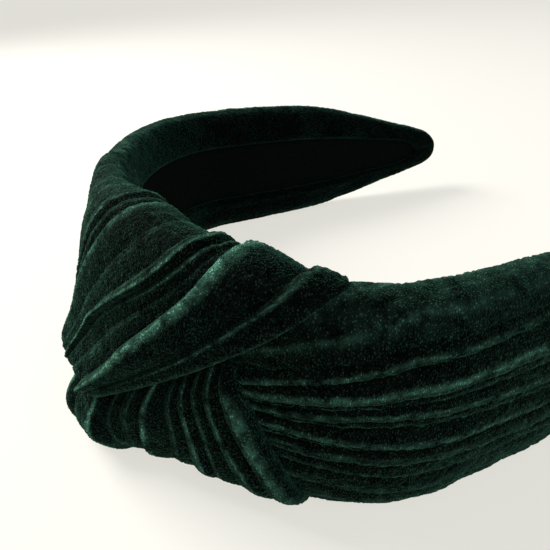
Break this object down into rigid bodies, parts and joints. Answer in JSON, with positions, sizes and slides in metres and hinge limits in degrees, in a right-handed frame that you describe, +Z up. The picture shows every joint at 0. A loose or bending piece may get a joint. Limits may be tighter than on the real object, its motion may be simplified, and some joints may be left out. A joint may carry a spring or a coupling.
{
  "type": "knotted headband",
  "caption": "Wide padded velvet headband with a turban knot over the crown, gathered arms that taper to rounded tips, and a recessed lining inside.",
  "frame": {"origin": "bottom centre of the bounding box, on the surface that the headband's lower edge rests on", "axes": "+Z up across the band's width, knot facing -Y, arms running back along +Y, right arm towards +X"},
  "size_m": [0.1382, 0.1558, 0.0523],
  "materials": {
    "velvet": "dark bottle-green velvet with a teal sheen",
    "lining": "near-black short-pile lining",
    "hoop_plastic": "black springy plastic",
    "foam": "off-white sponge foam",
    "thread": "dark green polyester thread"
  },
  "bodies": {
    "crown": {"hoop_core": "hoop_plastic", "foam_pad": "foam", "inner_lining": "lining", "left_velvet_gather": "velvet", "right_velvet_gather": "velvet", "knot_upper_fold": "velvet", "knot_lower_fold": "velvet", "upper_tack_stitch": "thread", "lower_tack_stitch": "thread"},
    "left_arm": {"left_velvet_sleeve": "velvet"},
    "right_arm": {"right_velvet_sleeve": "velvet"}
  },
  "joints": [
    {"name": "left_arm_flex", "type": "hinge", "parent": "crown", "child": "left_arm", "pos_m": [-0.05971, -0.02645, 0.02235], "axis": [0, 0.0488, 0.9988], "range_deg": [-3, 10], "stiffness_Nm_per_rad": 0.9, "deforming": ["hoop_core", "foam_pad", "inner_lining"]},
    {"name": "right_arm_flex", "type": "hinge", "parent": "crown", "child": "right_arm", "pos_m": [0.05971, -0.02645, 0.02235], "axis": [0, -0.0488, -0.9988], "range_deg": [-3, 10], "stiffness_Nm_per_rad": 0.9, "deforming": ["hoop_core", "foam_pad", "inner_lining"]}
  ]
}
